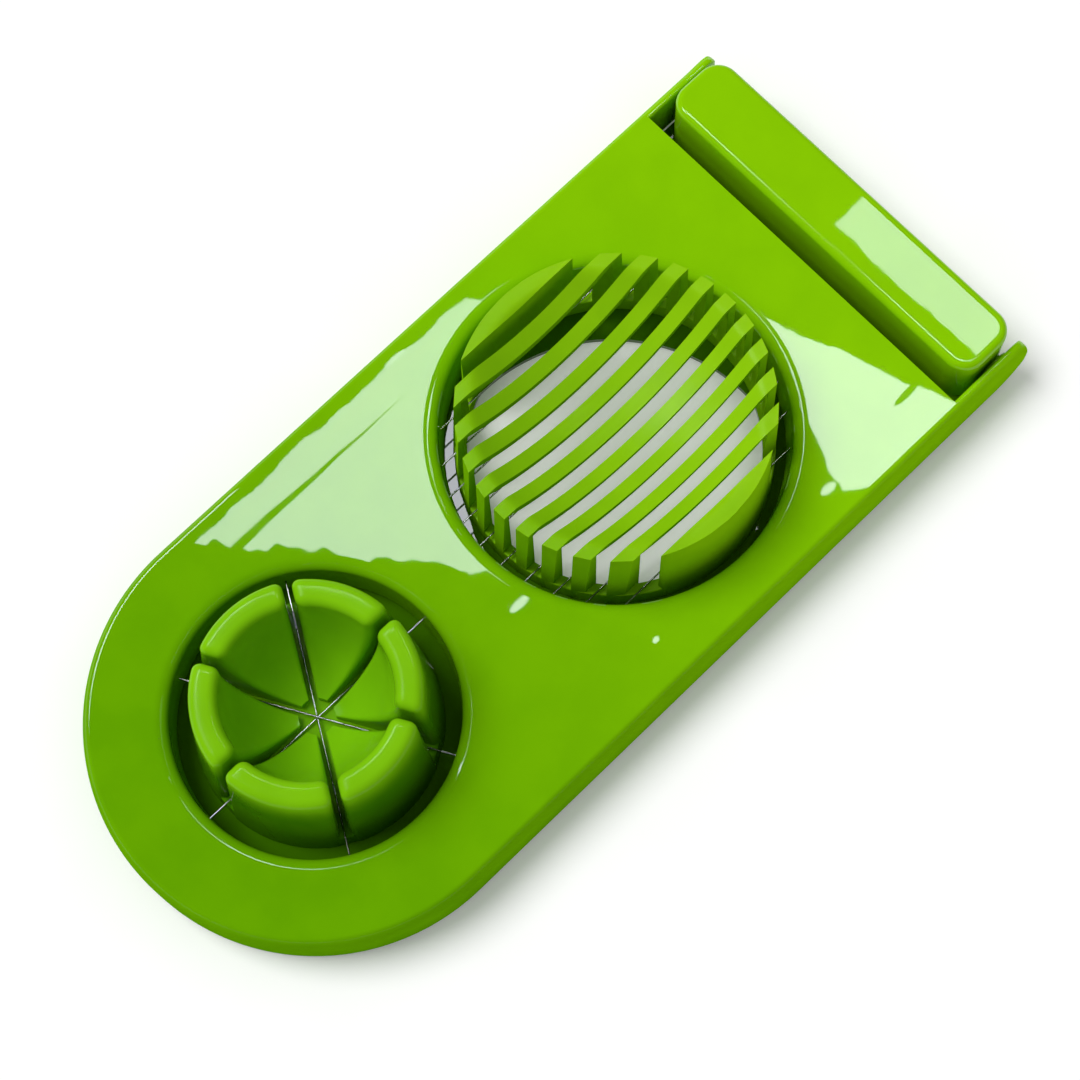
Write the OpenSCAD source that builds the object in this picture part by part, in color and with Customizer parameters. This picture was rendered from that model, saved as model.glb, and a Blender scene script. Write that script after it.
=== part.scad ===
// Egg slicer with two stations: a slotted dish under ten parallel wires, and a cup of
// six pods under three crossed wires. One hinged frame carries both sets of wires.
// Millimetres. The origin is on the table under the middle of the length and width,
// +X runs towards the hinge and +Z up. The frame is drawn closed.

/* [Overall] */
// Length over the round nose and the tips of the hinge ears
length = 207.3; // [205:0.1:212]
// Width over the frame's skirt
width = 95; // [94:0.5:98]

/* [Frame] */
// Height of the frame's top face above the table
frame_top = 14; // [13.8:0.1:15]
// Gap between the skirt and the table
skirt_gap = 1; // [0.6:0.1:1.4]
// Thickness of the skirt and of the hinge ears
skirt_t = 2.8; // [2.4:0.1:3.0]
// Thickness of the top plate
plate_t = 2.2; // [1.8:0.1:2.4]
// Rounding along the frame's outer top edge
frame_edge_r = 1.8; // [1:0.1:2.2]
// Length of the ears past the plate's straight end
ear_l = 20.6; // [20.2:0.1:21]
// Rounding of the ear tip's upper corner, seen from the side
ear_top_r = 3.5; // [3:0.1:4]
// Rounding of the ear tip's lower corner, seen from the side
ear_low_r = 8.8; // [8:0.1:9]

/* [Cutting holes] */
// Radius of the wedge hole just under its lip
wedge_hole_r = 29.7; // [29.2:0.1:30.5]
// Radius of the slicing hole just under its lip
slicer_hole_r = 36.9; // [36.6:0.1:37.5]
// Distance between the centres of the two holes
hole_pitch = 84.9; // [84:0.1:86]
// Rounding of the lips around both holes
lip_r = 1.9; // [1.2:0.1:2.2]
// Inward slope of the wedge hole's wall, as mm per mm of depth
wedge_draft = 0.04; // [0:0.01:0.06]
// Inward slope of the slicing hole's wall, as mm per mm of depth
slicer_draft = 0.1; // [0.05:0.01:0.12]
// Thickness of the collars and clamp rings around the holes
collar_t = 2.6; // [2.4:0.1:3]
// Height of the clamp rings' lower edge above the table
clamp_low = 3.4; // [3:0.1:4]

/* [Wires] */
// Diameter of every wire
wire_d = 0.4; // [0.3:0.05:0.6]
// Height of the wires above the table
wire_z = 8; // [7.8:0.1:8.4]
// Spacing of the slicing wires
wire_pitch = 6; // [5.8:0.1:6]
// Height from one crossed wire to the next at their crossing
cross_step = 0.45; // [0.45:0.05:0.5]

/* [Slicer bed] */
// Radius of the bed at its top edge
bed_top_r = 32.7; // [32:0.1:33]
// Radius of the bed where it meets the floor
bed_low_r = 33.9; // [33:0.1:34.2]
// Height of the bed's flat edge above the table
bed_top = 30.1; // [29:0.1:31]
// Radius at which the hollow dish starts
dish_r = 29.3; // [28.8:0.1:30]
// Depth of the dish
dish_depth = 11.4; // [10:0.1:12.5]
// Thickness of the ribs under the dish
rib_h = 3.2; // [2.8:0.1:3.6]
// Width of the slots between the ribs
slot_w = 3.3; // [2.8:0.1:3.6]
// Height of the slots' lower ends above the table
slot_low = 7; // [6.4:0.1:7.2]
// Thickness of the bed's round wall at the floor
bed_wall_t = 2.7; // [2.2:0.1:3]

/* [Wedge bed] */
// Radius of the pods' outer face at the floor
pod_low_r = 25.8; // [25:0.1:26.2]
// Radius of the pods' outer face at the rim
pod_top_r = 23.1; // [22.6:0.1:23.6]
// Radius of the pods' inner face at the rim
pod_in_r = 17.4; // [17:0.1:18]
// Height of the pods above the table
pod_top = 32.5; // [31:0.1:33]
// Rounding of the pods' rim
pod_rim_r = 2; // [1.4:0.1:2.4]
// Radius of the open middle, where the wires cross
pod_tip_r = 3.8; // [3.4:0.1:4.4]
// Height of the pods' inner tips above the table
pod_tip_z = 9; // [8.8:0.1:10]
// Width of the grooves between the pods
groove_w = 2.6; // [2.5:0.1:2.8]
// Height of the groove floor above the table
groove_low = 6.7; // [6.2:0.1:6.8]
// Depth of the small well under the crossing, below the groove floor
well_depth = 0.3; // [0.2:0.1:1]
// Sideways lean of the two slanting grooves at the rim, which follows the wires' arc
groove_lean = 1.2; // [1:0.1:1.4]
// Thickness of the pods' hollow walls
pod_wall_t = 2.2; // [1.8:0.1:2.4]
// Height of the hollow in each pod
pod_hollow = 20; // [16:1:22]

/* [Base] */
// Thickness of the floor
floor_t = 1.5; // [1.2:0.1:1.8]
// Gap between the floor's edge and the skirt
floor_gap = 0.5; // [0.4:0.1:0.8]
// Radius of the opening in the floor under the slicer bed
floor_hole_r = 27.5; // [25:0.5:29]
// Distance from the ear tips to the back of the block
block_inset = 1.1; // [0.9:0.1:1.6]
// Length of the block along X
block_l = 15.7; // [15:0.1:15.8]
// Gap between each end of the block and the ear beside it
block_gap = 1.1; // [1:0.1:1.4]
// Height of the block above the table
block_top = 18.7; // [17.5:0.1:18.8]
// Corner rounding of the block, seen from above
block_corner_r = 5; // [4:0.1:6]
// Rounding along the block's top edge
block_edge_r = 3; // [2.8:0.1:3.6]
// Thickness of the block's hollow shell
block_wall_t = 2.2; // [1.8:0.1:2.6]

/* [Hinge] */
// Distance from the ear tips to the hinge axis
hinge_inset = 6.6; // [6.5:0.1:6.7]
// Height of the hinge axis above the table
hinge_z = 7; // [6.8:0.1:7.2]
// Diameter of the hinge pins
pin_d = 3; // [2.5:0.1:3.4]
// Length of each pin
pin_l = 10.5; // [9:0.1:11]
// Radial clearance of the pins in the ears
pin_clearance = 0.06; // [0.03:0.01:0.1]
// Radius of the bosses around the pins
boss_r = 3.6; // [3.2:0.1:3.8]
// Thickness of the skin left over each pin in the ear's outer face
ear_skin = 1.2; // [1:0.1:1.4]
// Play between the ear bosses and the block
boss_play = 0.3; // [0.3:0.05:0.4]

/* [Hidden] */

$fn = 96;
// Overrun of cutting solids past the face they open
over = 1;
// Segments of each quarter round in a profile
arc_steps = 10;
// Facets round a wire and round the large discs
wire_facets = 24;
round_facets = 180;

half_l = length / 2;
half_w = width / 2;
skirt_in = half_w - skirt_t;
plate_low = frame_top - plate_t;
// The collars rise into the middle of the plate
collar_top = plate_low + plate_t / 2;

wedge_x = half_w - half_l;
slicer_x = wedge_x + hole_pitch;
plate_end = half_l - ear_l;
hinge_x = half_l - hinge_inset;

slicer_wires = 10;
wedge_wires = 3;
wedge_turn = 60;
pods = 2 * wedge_wires;
// Direction midway between two wires, where the round parts start their turn
between_wires = wedge_turn / 2;
// Clearance of the grooves that seat the wires between collar and clamp
seat_clearance = 0.02;
wire_seat = wire_d / 2 + seat_clearance;
// How far the wires reach into the collars
wire_grip = 1.8;

block_x1 = half_l - block_inset;
block_x0 = block_x1 - block_l;
block_half_w = skirt_in - block_gap;
floor_half_w = skirt_in - floor_gap;

pin_r = pin_d / 2;
// Air between a pin's outer end and the ear's skin
pin_end_play = 0.2;
pin_end = half_w - ear_skin - pin_end_play;
boss_face = block_half_w + boss_play;
// Solid end left behind each pin in the block's inner boss
pin_stop = 1.2;

frame_green = [0.50, 0.76, 0.05];
base_green = [0.46, 0.72, 0.04];
bed_green = [0.54, 0.80, 0.10];
clamp_green = [0.44, 0.68, 0.05];
steel = [0.78, 0.79, 0.80];

// ---- Shared functions and shapes ----

// Points of a round corner of radius r about c, from angle a0 to angle a1
function arc(c, r, a0, a1, steps = arc_steps) =
  [for (i = [0 : steps]) let (a = a0 + (a1 - a0) * i / steps) [c.x + r * cos(a), c.y + r * sin(a)]];

// Radius at height z of a drafted hole wall that is r wide just under the lip
function wall_r(r, draft, z) = r - draft * (frame_top - lip_r - z);

// Y position of the slicing wire i, counted from 1
function slicer_wire_y(i) = (i - (slicer_wires + 1) / 2) * wire_pitch;

// Height of the crossed wire i, counted from 1
function wedge_wire_z(i) = wire_z + (i - (wedge_wires + 1) / 2) * cross_step;

// Half of the pods' inner bowl is an ellipse; this is its radius at height z
bowl_top = pod_top - pod_rim_r;
bowl_h = (bowl_top - pod_tip_z) / sqrt(1 - pow(pod_tip_r / pod_in_r, 2));
function bowl_r(z, grow = 0) =
  (pod_in_r + grow) * sqrt(1 - pow((bowl_top - z) / (bowl_h + grow), 2));

// Lays a profile drawn as (Y, Z) along X from x0 to x1
module along_x(x0, x1) {
  translate([x0, 0, 0])
    rotate([90, 0, 90])
      linear_extrude(height = x1 - x0)
        children();
}

// Lays a profile drawn as (X, Z) along Y from y0 to y1
module along_y(y0, y1) {
  translate([0, y1, 0])
    rotate([90, 0, 0])
      linear_extrude(height = y1 - y0)
        children();
}

// A square-ended strip with its two upper corners rounded
module round_top_strip(half, low, top, r) {
  polygon(concat(
    [[-half, low], [half, low]],
    arc([half - r, top - r], r, 0, 90),
    arc([-half + r, top - r], r, 90, 180)));
}

// A box with rounded upright corners and a rounded top edge
module soft_block(x0, x1, half, low, top, corner, edge) {
  mid = (x0 + x1) / 2;
  along_x(x0 + corner, x1 - corner)
    round_top_strip(half, low, top, edge);
  along_y(-half + corner, half - corner)
    translate([mid, 0])
      round_top_strip((x1 - x0) / 2, low, top, edge);
  for (x = [x0 + corner, x1 - corner], y = [-half + corner, half - corner])
    translate([x, y, 0])
      rotate_extrude()
        polygon(concat([[0, low], [corner, low]], arc([corner - edge, top - edge], edge, 0, 90), [[0, top]]));
}

// A cylinder along Y from y0 to y1 on the hinge axis
module on_hinge(r, y0, y1) {
  translate([hinge_x, y1, hinge_z])
    rotate([90, 0, 0])
      cylinder(h = y1 - y0, r = r);
}

// ---- Frame ----

// Half section of the frame: plate and skirt, drawn from the middle outwards
module frame_section() {
  polygon(concat(
    [[0, plate_low], [skirt_in, plate_low], [skirt_in, skirt_gap], [half_w, skirt_gap]],
    arc([half_w - frame_edge_r, frame_top - frame_edge_r], frame_edge_r, 0, 90),
    [[0, frame_top]]));
}

// Side view of the straight part, with both corners of the ear tips rounded
module frame_side() {
  polygon(concat(
    [[wedge_x - over, skirt_gap]],
    arc([half_l - ear_low_r, skirt_gap + ear_low_r], ear_low_r, -90, 0),
    arc([half_l - ear_top_r, frame_top - ear_top_r], ear_top_r, 0, 90),
    [[wedge_x - over, frame_top]]));
}

module frame_shell() {
  intersection() {
    translate([wedge_x, 0, 0])
      rotate_extrude()
        frame_section();
    translate([wedge_x - width, -half_w, 0])
      cube([width, width, frame_top]);
  }
  difference() {
    intersection() {
      along_x(wedge_x, half_l) {
        frame_section();
        mirror([1, 0])
          frame_section();
      }
      along_y(-half_w, half_w)
        frame_side();
    }
    translate([plate_end, -skirt_in, 0])
      cube([ear_l + over, 2 * skirt_in, frame_top + over]);
  }
}

// What a cutting hole takes away: a drafted wall that flares into a rounded lip
module hole_cutter(r, draft) {
  low_r = wall_r(r, draft, wire_z - over);
  rotate_extrude()
    polygon(concat(
      [[0, wire_z - over], [low_r, wire_z - over]],
      arc([r + lip_r, frame_top - lip_r], lip_r, 180, 90),
      [[r + lip_r, frame_top + over], [0, frame_top + over]]));
}

// Ring between heights z0 and z1 around a cutting hole
module hole_ring(r, draft, z0, z1) {
  rotate_extrude()
    polygon([
      [wall_r(r, draft, z0), z0], [r + collar_t, z0],
      [r + collar_t, z1], [wall_r(r, draft, z1), z1]]);
}

// Straight seat for a wire at height z, open to the plane between collar and clamp
module wire_seat_cut(span, z) {
  translate([-span, 0, z])
    rotate([0, 90, 0])
      cylinder(h = 2 * span, r = wire_seat, $fn = wire_facets);
  gap = abs(z - wire_z);
  if (gap > 0)
    translate([-span, -wire_seat, min(z, wire_z)])
      cube([2 * span, 2 * wire_seat, gap]);
}

module slicer_seats() {
  reach = slicer_hole_r + wire_grip;
  for (i = [1 : slicer_wires])
    translate([0, slicer_wire_y(i), 0])
      wire_seat_cut(sqrt(pow(reach, 2) - pow(slicer_wire_y(i), 2)) + seat_clearance, wire_z);
}

module wedge_seats() {
  for (i = [1 : wedge_wires])
    rotate([0, 0, (i - 1) * wedge_turn])
      wire_seat_cut(wedge_hole_r + wire_grip + seat_clearance, wedge_wire_z(i));
}

module cutting_frame() {
  color(frame_green)
    difference() {
      union() {
        frame_shell();
        translate([wedge_x, 0, 0])
          rotate([0, 0, between_wires])
            hole_ring(wedge_hole_r, wedge_draft, wire_z, collar_top);
        translate([slicer_x, 0, 0])
          hole_ring(slicer_hole_r, slicer_draft, wire_z, collar_top);
        for (side = [0, 1])
          mirror([0, side, 0])
            on_hinge(boss_r, boss_face, skirt_in + over);
      }
      translate([wedge_x, 0, 0]) {
        rotate([0, 0, between_wires])
          hole_cutter(wedge_hole_r, wedge_draft);
        wedge_seats();
      }
      translate([slicer_x, 0, 0]) {
        hole_cutter(slicer_hole_r, slicer_draft);
        slicer_seats();
      }
      for (side = [0, 1])
        mirror([0, side, 0])
          on_hinge(pin_r + pin_clearance, boss_face - over, half_w - ear_skin);
    }
}

module slicer_wire_clamp() {
  color(clamp_green)
    translate([slicer_x, 0, 0])
      difference() {
        hole_ring(slicer_hole_r, slicer_draft, clamp_low, wire_z);
        slicer_seats();
      }
}

module wedge_wire_clamp() {
  color(clamp_green)
    translate([wedge_x, 0, 0])
      difference() {
        rotate([0, 0, between_wires])
          hole_ring(wedge_hole_r, wedge_draft, clamp_low, wire_z);
        wedge_seats();
      }
}

// ---- Wires ----

module wire(half_span) {
  color(steel)
    translate([-half_span, 0, 0])
      rotate([0, 90, 0])
        cylinder(h = 2 * half_span, r = wire_d / 2, $fn = wire_facets);
}

module slicer_wire(i) {
  y = slicer_wire_y(i);
  translate([slicer_x, y, wire_z])
    wire(sqrt(pow(slicer_hole_r + wire_grip, 2) - y * y));
}

module wedge_wire(i) {
  translate([wedge_x, 0, wedge_wire_z(i)])
    rotate([0, 0, (i - 1) * wedge_turn])
      wire(wedge_hole_r + wire_grip);
}

// ---- Slicer bed ----

dish_ball_r = (dish_r * dish_r + dish_depth * dish_depth) / (2 * dish_depth);
dish_ball_z = bed_top - dish_depth + dish_ball_r;

// Half section of the space under the ribs, inside the round wall
module under_dish_section() {
  ball = dish_ball_r + rib_h;
  in_r = bed_low_r - bed_wall_t;
  steps = 3 * arc_steps;
  polygon(concat(
    [[0, floor_t - over], [in_r, floor_t - over]],
    [for (i = [0 : steps])
      let (r = in_r * (1 - i / steps))
      [r, dish_ball_z - sqrt(ball * ball - r * r)]]));
}

module slicer_bed() {
  color(bed_green)
    translate([slicer_x, 0, 0])
      difference() {
        rotate_extrude()
          polygon([[0, floor_t], [bed_low_r, floor_t], [bed_top_r, bed_top], [0, bed_top]]);
        translate([0, 0, dish_ball_z])
          sphere(r = dish_ball_r, $fn = round_facets);
        rotate_extrude()
          under_dish_section();
        for (i = [1 : slicer_wires])
          translate([-bed_low_r - over, slicer_wire_y(i) - slot_w / 2, slot_low])
            cube([2 * (bed_low_r + over), slot_w, bed_top - slot_low + over]);
      }
}

// ---- Wedge bed ----

module pod_section() {
  steps = 2 * arc_steps;
  polygon(concat(
    [[0, floor_t], [pod_low_r, floor_t]],
    arc([pod_top_r - pod_rim_r, bowl_top], pod_rim_r, 0, 90),
    arc([pod_in_r + pod_rim_r, bowl_top], pod_rim_r, 90, 180),
    [for (i = [1 : steps])
      let (z = bowl_top - (bowl_top - pod_tip_z) * sin(90 * i / steps))
      [bowl_r(z), z]],
    [[pod_tip_r, groove_low - well_depth], [0, groove_low - well_depth]]));
}

// Half section of the hollow in a pod, before it is cut to one sixth of the round
module pod_hollow_section() {
  steps = arc_steps;
  // The hollow's shell narrows to nothing just under this height
  low = max(groove_low, bowl_top - bowl_h - pod_wall_t + 0.1);
  draft = (pod_low_r - pod_top_r) / (bowl_top - floor_t);
  polygon(concat(
    [[bowl_r(low, pod_wall_t), floor_t - over], [pod_low_r - pod_wall_t, floor_t - over]],
    [[pod_low_r - pod_wall_t - draft * pod_hollow, pod_hollow]],
    [for (i = [0 : steps])
      let (z = pod_hollow - (pod_hollow - low) * i / steps)
      [bowl_r(z, pod_wall_t), z]]));
}

// A sixth of the round with its sides pushed in by half the groove and one wall
module pod_hollow_sector() {
  inset = groove_w / 2 + pod_wall_t;
  far = pod_low_r + over;
  near_x = inset / sin(between_wires);
  far_y = (far - near_x) * tan(between_wires);
  rotate([0, 0, between_wires])
    linear_extrude(height = pod_top)
      polygon([[near_x, 0], [far, -far_y], [far, far_y]]);
}

// One groove across the bed. Its floor is centred on the wire; lean shifts it at the rim.
module groove(lean) {
  low = groove_low;
  along_x(-pod_low_r - over, pod_low_r + over)
    polygon([
      [-groove_w / 2, low], [groove_w / 2, low],
      [groove_w / 2 + lean, pod_top + over], [-groove_w / 2 + lean, pod_top + over]]);
}

module wedge_bed() {
  color(bed_green)
    translate([wedge_x, 0, 0])
      difference() {
        rotate([0, 0, between_wires])
          rotate_extrude()
            pod_section();
        for (i = [0 : pods - 1])
          rotate([0, 0, i * wedge_turn])
            intersection() {
              rotate_extrude()
                pod_hollow_section();
              pod_hollow_sector();
            }
        for (i = [0 : wedge_wires - 1])
          rotate([0, 0, i * wedge_turn])
            groove(i == 0 ? 0 : -groove_lean);
      }
}

// ---- Base and hinge ----

module floor_plate() {
  translate([wedge_x, 0, 0])
    cylinder(h = floor_t, r = floor_half_w, $fn = round_facets);
  translate([wedge_x, -floor_half_w, 0])
    cube([block_x1 - block_corner_r - wedge_x, 2 * floor_half_w, floor_t]);
}

module block_shell() {
  t = block_wall_t;
  difference() {
    soft_block(block_x0, block_x1, block_half_w, 0, block_top, block_corner_r, block_edge_r);
    soft_block(block_x0 + t, block_x1 - t, block_half_w - t, -over, block_top - t,
      block_corner_r - t, block_edge_r - t);
  }
}

module base() {
  color(base_green)
    difference() {
      union() {
        difference() {
          floor_plate();
          translate([block_x0 + block_wall_t, -block_half_w + block_wall_t, -over])
            cube([block_l - 2 * block_wall_t, 2 * (block_half_w - block_wall_t), floor_t + 2 * over]);
        }
        block_shell();
        for (side = [0, 1])
          mirror([0, side, 0])
            on_hinge(boss_r, pin_end - pin_l - pin_stop, block_half_w - block_wall_t / 2);
      }
      translate([slicer_x, 0, -over])
        cylinder(h = floor_t + 2 * over, r = floor_hole_r);
      for (side = [0, 1])
        mirror([0, side, 0])
          on_hinge(pin_r, pin_end - pin_l, block_half_w + over);
    }
}

module hinge_pin(side) {
  color(steel)
    mirror([0, side, 0])
      on_hinge(pin_r, pin_end - pin_l, pin_end);
}

// ---- Nodes ----

base();
slicer_bed();
wedge_bed();
cutting_frame();
slicer_wire_clamp();
wedge_wire_clamp();
slicer_wire(1);  // slicer_wire_01
slicer_wire(2);  // slicer_wire_02
slicer_wire(3);  // slicer_wire_03
slicer_wire(4);  // slicer_wire_04
slicer_wire(5);  // slicer_wire_05
slicer_wire(6);  // slicer_wire_06
slicer_wire(7);  // slicer_wire_07
slicer_wire(8);  // slicer_wire_08
slicer_wire(9);  // slicer_wire_09
slicer_wire(10);  // slicer_wire_10
wedge_wire(1);  // wedge_wire_1
wedge_wire(2);  // wedge_wire_2
wedge_wire(3);  // wedge_wire_3
hinge_pin(0);  // hinge_pin_left
hinge_pin(1);  // hinge_pin_right
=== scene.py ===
from math import asin, cos, exp, log, pi, radians, sin, sqrt

import bmesh
import bpy
from mathutils import Matrix, Vector

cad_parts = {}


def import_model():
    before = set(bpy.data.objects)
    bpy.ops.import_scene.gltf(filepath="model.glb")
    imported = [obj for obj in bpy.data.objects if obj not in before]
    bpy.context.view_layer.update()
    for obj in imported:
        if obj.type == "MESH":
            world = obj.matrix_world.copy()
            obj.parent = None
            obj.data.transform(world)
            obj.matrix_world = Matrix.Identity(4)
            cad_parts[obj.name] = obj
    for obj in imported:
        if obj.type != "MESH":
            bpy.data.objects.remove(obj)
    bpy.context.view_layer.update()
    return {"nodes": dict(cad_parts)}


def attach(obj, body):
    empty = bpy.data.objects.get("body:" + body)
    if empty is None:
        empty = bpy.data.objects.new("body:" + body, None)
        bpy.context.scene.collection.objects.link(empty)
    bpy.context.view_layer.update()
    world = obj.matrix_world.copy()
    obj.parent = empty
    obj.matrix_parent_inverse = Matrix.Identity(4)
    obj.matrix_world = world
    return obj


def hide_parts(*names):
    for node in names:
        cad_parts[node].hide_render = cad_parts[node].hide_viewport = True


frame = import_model()

# ---------------------------------------------------------------- sizes, in millimetres
MM = 0.001
# Points closer than this are one point
NEAR = 0.001

# Middles of the wedge bed and the slicer bed, along X, and of the frame's two holes
WEDGE_X, SLICER_X = -56.15, 28.75
FLOOR_TOP = 1.5

# Slicer bed: a wall that leans in a little, and a dish that is part of a ball
BED_TOP = 30.1
BED_TOP_R, BED_LOW_R, BED_IN_R = 32.7, 33.9, 31.2
DISH_BALL_R, DISH_BALL_Z = 43.35, 62.05
RIM_EASE = 0.35
WIRE_PITCH = 6.0
RIBS, RIB_H, RIB_W, RIB_LOW_W = 9, 3.2, 3.05, 2.3
SLOT_LOW = 7.0
POST_HEIGHTS = (22.0, 14.0, SLOT_LOW, FLOOR_TOP)
# From the line of the outermost wire to the closed end beside it
END_GAP = 1.65
# Rounding of the edges on the ribs, the closed ends and the ring, and its steps
RIB_BEVEL, END_BEVEL, RING_BEVEL = (0.75, 4), (0.45, 3), (0.3, 2)

# Wedge bed: six pods round a bowl, with grooves for the wires between them
POD_LOW_R, POD_TOP_R, POD_IN_R = 25.8, 23.1, 17.4
POD_TOP, POD_RIM_R = 32.5, 2.0
POD_TIP_R, POD_TIP_Z, POD_TIP_EDGE = 3.8, 9.0, 0.6
BOWL_TOP = POD_TOP - POD_RIM_R
BOWL_H = (BOWL_TOP - POD_TIP_Z) / sqrt(1 - (POD_TIP_R / POD_IN_R) ** 2)
# Lean of the pods' outer wall, in degrees
POD_DRAFT = 5.3
GROOVE_W, GROOVE_LOW, GROOVE_LEAN = 1.9, 6.7, 1.2
# Rounding of each pod's two ends, a little less than the rim's own so that the ends don't fold over.
# It starts at a small share of this at the tip, grows over a distance and stays under a share of the radius
POD_ROUND = 1.7
ROUND_AT_TIP, ROUND_GROWS, ROUND_MOST = 0.12, 15.0, 0.3
FOOT_R, FOOT_BEVEL = 25.6, 0.4

# Cutting frame
HALF_W, SKIRT_IN, FRAME_TOP, PLATE_LOW, SKIRT_LOW = 47.5, 44.7, 14.0, 11.8, 1.0
EDGE_W, EDGE_H = 2.0, 5.5
LIP_R, LIP_W = 1.9, 2.8
PLATE_END, TIP = 83.05, 103.65
WIRE_Z = 8.0
WEDGE_HOLE_R, SLICER_HOLE_R, COLLAR_T = 29.7, 36.9, 2.6
# How much narrower each hole's wall gets for every millimetre down
WEDGE_HOLE_DRAFT, SLICER_HOLE_DRAFT = 0.04, 0.1
EAR_TOP_R, EAR_LOW_R, EAR_ROUND, EAR_IN_ROUND = 3.5, 8.8, 0.8, 0.7
HINGE_X, HINGE_Z, BOSS_R, BOSS_FACE = 97.05, 7.0, 3.6, 43.9
# Narrow level strip beside each rounded edge, so that the wide face next to it shades flat
STRIP = 0.25

# Base
FLOOR_END, FLOOR_HALF = 101.6, 44.2
BLOCK_X0, BLOCK_X1, BLOCK_HALF, BLOCK_TOP = 86.85, 102.55, 43.6, 18.7
BLOCK_CORNER, BLOCK_EDGE, BLOCK_WALL = 5.0, 1.6, 2.2
# The opening under the ribs follows the bed's wall, with a flatter sill on the hinge side
SILL_X, SILL_Y, SILL_R = SLICER_X - 10.3, -9.9, 38.7


# ---------------------------------------------------------------- shading helpers
def add_node(tree, kind, inputs, out=0, **settings):
    """Adds a shader node: its settings, then its inputs' values or links. Returns one of its outputs."""
    made = tree.nodes.new(kind)
    for key, value in settings.items():
        setattr(made, key, value)
    for key, value in inputs.items():
        if isinstance(value, Sock):
            tree.links.new(value.socket, made.inputs[key])
        else:
            made.inputs[key].default_value = value
    return Sock(tree, made.outputs[out]) if len(made.outputs) else None


class Sock:
    """One output of a shader node. Arithmetic on it adds the node that works the result out."""

    def __init__(self, tree, socket):
        self.tree = tree
        self.socket = socket

    def node(self, kind, inputs, out=0, **settings):
        return add_node(self.tree, kind, inputs, out, **settings)

    def maths(self, operation, *terms):
        return self.node("ShaderNodeMath", dict(enumerate(terms)), operation=operation)

    def __add__(self, other):
        return self.maths("ADD", self, other)

    def __radd__(self, other):
        return self.maths("ADD", other, self)

    def __sub__(self, other):
        return self.maths("SUBTRACT", self, other)

    def __rsub__(self, other):
        return self.maths("SUBTRACT", other, self)

    def __mul__(self, other):
        return self.maths("MULTIPLY", self, other)

    def __rmul__(self, other):
        return self.maths("MULTIPLY", other, self)

    def __truediv__(self, other):
        return self.maths("DIVIDE", self, other)

    def __rtruediv__(self, other):
        return self.maths("DIVIDE", other, self)

    def smaller(self, other):
        return self.maths("MINIMUM", self, other)

    def larger(self, other):
        return self.maths("MAXIMUM", self, other)

    def size(self):
        """Its value with no sign."""
        return self.maths("ABSOLUTE", self)

    def root(self):
        return self.maths("SQRT", self)

    def ramp(self, low, high, start=0.0, end=1.0):
        """start below low, end above high, and a smooth step between them."""
        inputs = {"Value": self, "From Min": low, "From Max": high, "To Min": start, "To Max": end}
        return self.node("ShaderNodeMapRange", inputs, interpolation_type="SMOOTHSTEP")

    def noise(self, scale, detail=2.0, roughness=0.5):
        inputs = {"Vector": self, "Scale": scale, "Detail": detail, "Roughness": roughness}
        return self.node("ShaderNodeTexNoise", inputs)

    def patches(self, scale, detail, low=0.0, high=1.0):
        """Soft patches between the values low and high."""
        return self.noise(scale, detail).ramp(0.3, 0.7, low, high)

    def tint(self, dark, light):
        """A colour between dark and light, where this value is the share of light."""
        inputs = {"Factor": self, 6: (*dark, 1), 7: (*light, 1)}
        return self.node("ShaderNodeMix", inputs, 2, data_type="RGBA")

    def parts(self):
        """The x, y and z of a vector."""
        split = self.node("ShaderNodeSeparateXYZ", {"Vector": self})
        outputs = split.socket.node.outputs
        return [Sock(self.tree, outputs[i]) for i in range(3)]


def blank_material(name):
    """A material with an empty node tree, and the object coordinates to colour it by."""
    material = bpy.data.materials.new(name)
    material.use_nodes = True
    tree = material.node_tree
    tree.nodes.clear()
    return material, add_node(tree, "ShaderNodeTexCoord", {}, "Object")


def use_shader(material, shader):
    """Makes a shader the surface of a material."""
    add_node(material.node_tree, "ShaderNodeOutputMaterial", {"Surface": shader})


# ---------------------------------------------------------------- materials
# Along X, where the plastic's colour runs from deep to pale: painted light, brighter towards the hinge end
# as if lit more strongly there
PAINTED_LIGHT_FROM, PAINTED_LIGHT_TO = -100.0, 110.0
# Heights between which the pods' walls turn pale, and radii between which their bowl's paleness ends:
# painted shade low on the walls, painted light on the rims and in the bowls
WALL_DEEP, WALL_PALE = 21.0, 34.5
BOWL_PALE_R, BOWL_DEEP_R, BOWL_PALENESS = 17.32, 20.98, 0.9
# The frame's gloss ends between these heights and these distances from the nose's middle
GLOSS_LOW, GLOSS_HIGH = 7.0, 11.5
GLOSS_R, MATTE_R = 45.9, 46.6
# Upward share of the normal from which the slicer bed starts to shine, and where it shines fully
MATTE_UP, GLOSS_UP = 0.35, 0.8
# Scale and detail of each surface pattern
MOTTLE, ROUGHNESS, RIPPLE = (90.0, 3.0), (140.0, 2.0), (60.0, 1.0)
DRAWING_MARKS, TABLE_GRAIN = (200.0, 1.0), (30.0, 2.0)
MOTTLE_SHARE = 0.12
PLASTIC_IOR = 1.49
RIPPLE_H = 0.4

# Each pair below is one plastic in a shaded and a lit copy, so that light and shade are painted into its
# colour
LIME = (0.240, 0.560, 0.0012)
LIME_SHADED = (0.118, 0.345, 0.0006)
SATIN = (0.285, 0.585, 0.0030)
SATIN_SHADED = (0.110, 0.330, 0.0010)
POD_LIT = (0.205, 0.520, 0.0040)
POD_SHADED = (0.050, 0.200, 0.0005)
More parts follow.
